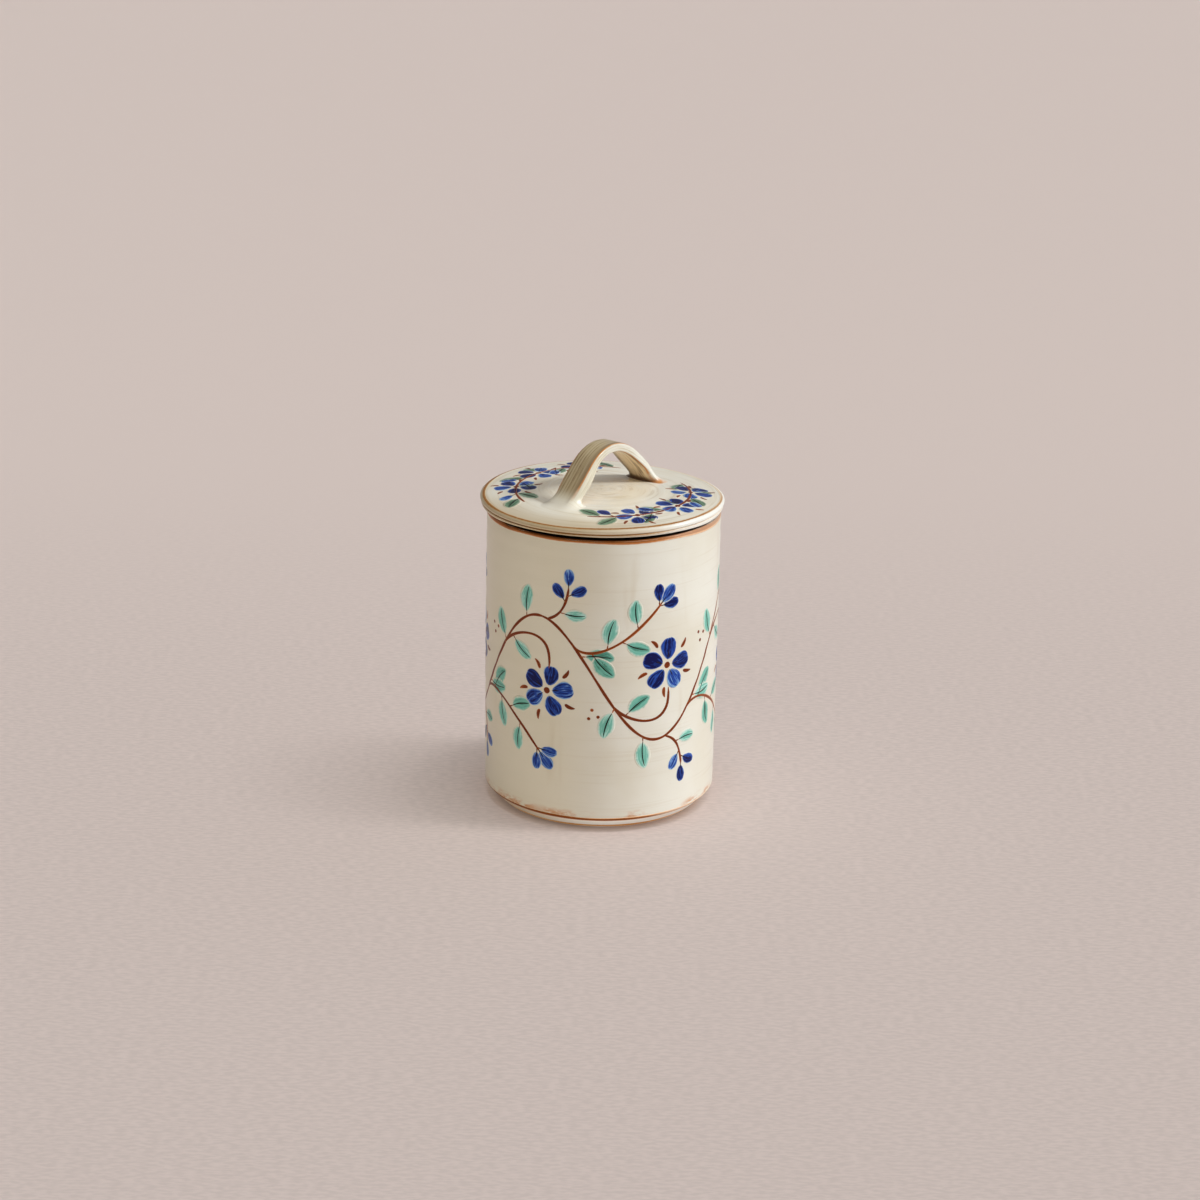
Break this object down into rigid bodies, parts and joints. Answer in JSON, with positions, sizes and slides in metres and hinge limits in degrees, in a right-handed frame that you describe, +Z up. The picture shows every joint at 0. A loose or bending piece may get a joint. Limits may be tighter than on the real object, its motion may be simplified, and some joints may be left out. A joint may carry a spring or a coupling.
{
  "type": "lidded ceramic jar",
  "caption": "Cylindrical glazed ceramic jar with a flat overhanging lid that lifts off by a strap handle, and a locating flange under the lid.",
  "frame": {"origin": "centre of the foot, on the surface that the jar stands on", "axes": "+Z up along the jar's axis, through the lid; X along the strap handle"},
  "size_m": [0.12, 0.12, 0.1819],
  "materials": {
    "jar_glaze": "glossy cream glaze with brown rim and foot lines and painted blue, green and rust decoration",
    "lid_glaze": "glossy cream glaze with brown edge lines and painted decoration",
    "handle_glaze": "glossy cream glaze worn to brown along the strap's edges"
  },
  "bodies": {
    "jar": {"jar_body": "jar_glaze"},
    "lid": {"lid_disc": "lid_glaze", "lid_flange": "lid_glaze", "strap_handle": "handle_glaze"}
  },
  "joints": [
    {"name": "lid_lift", "type": "slide", "parent": "jar", "child": "lid", "axis": [0, 0, 1], "range_m": [0, 0.08]}
  ]
}
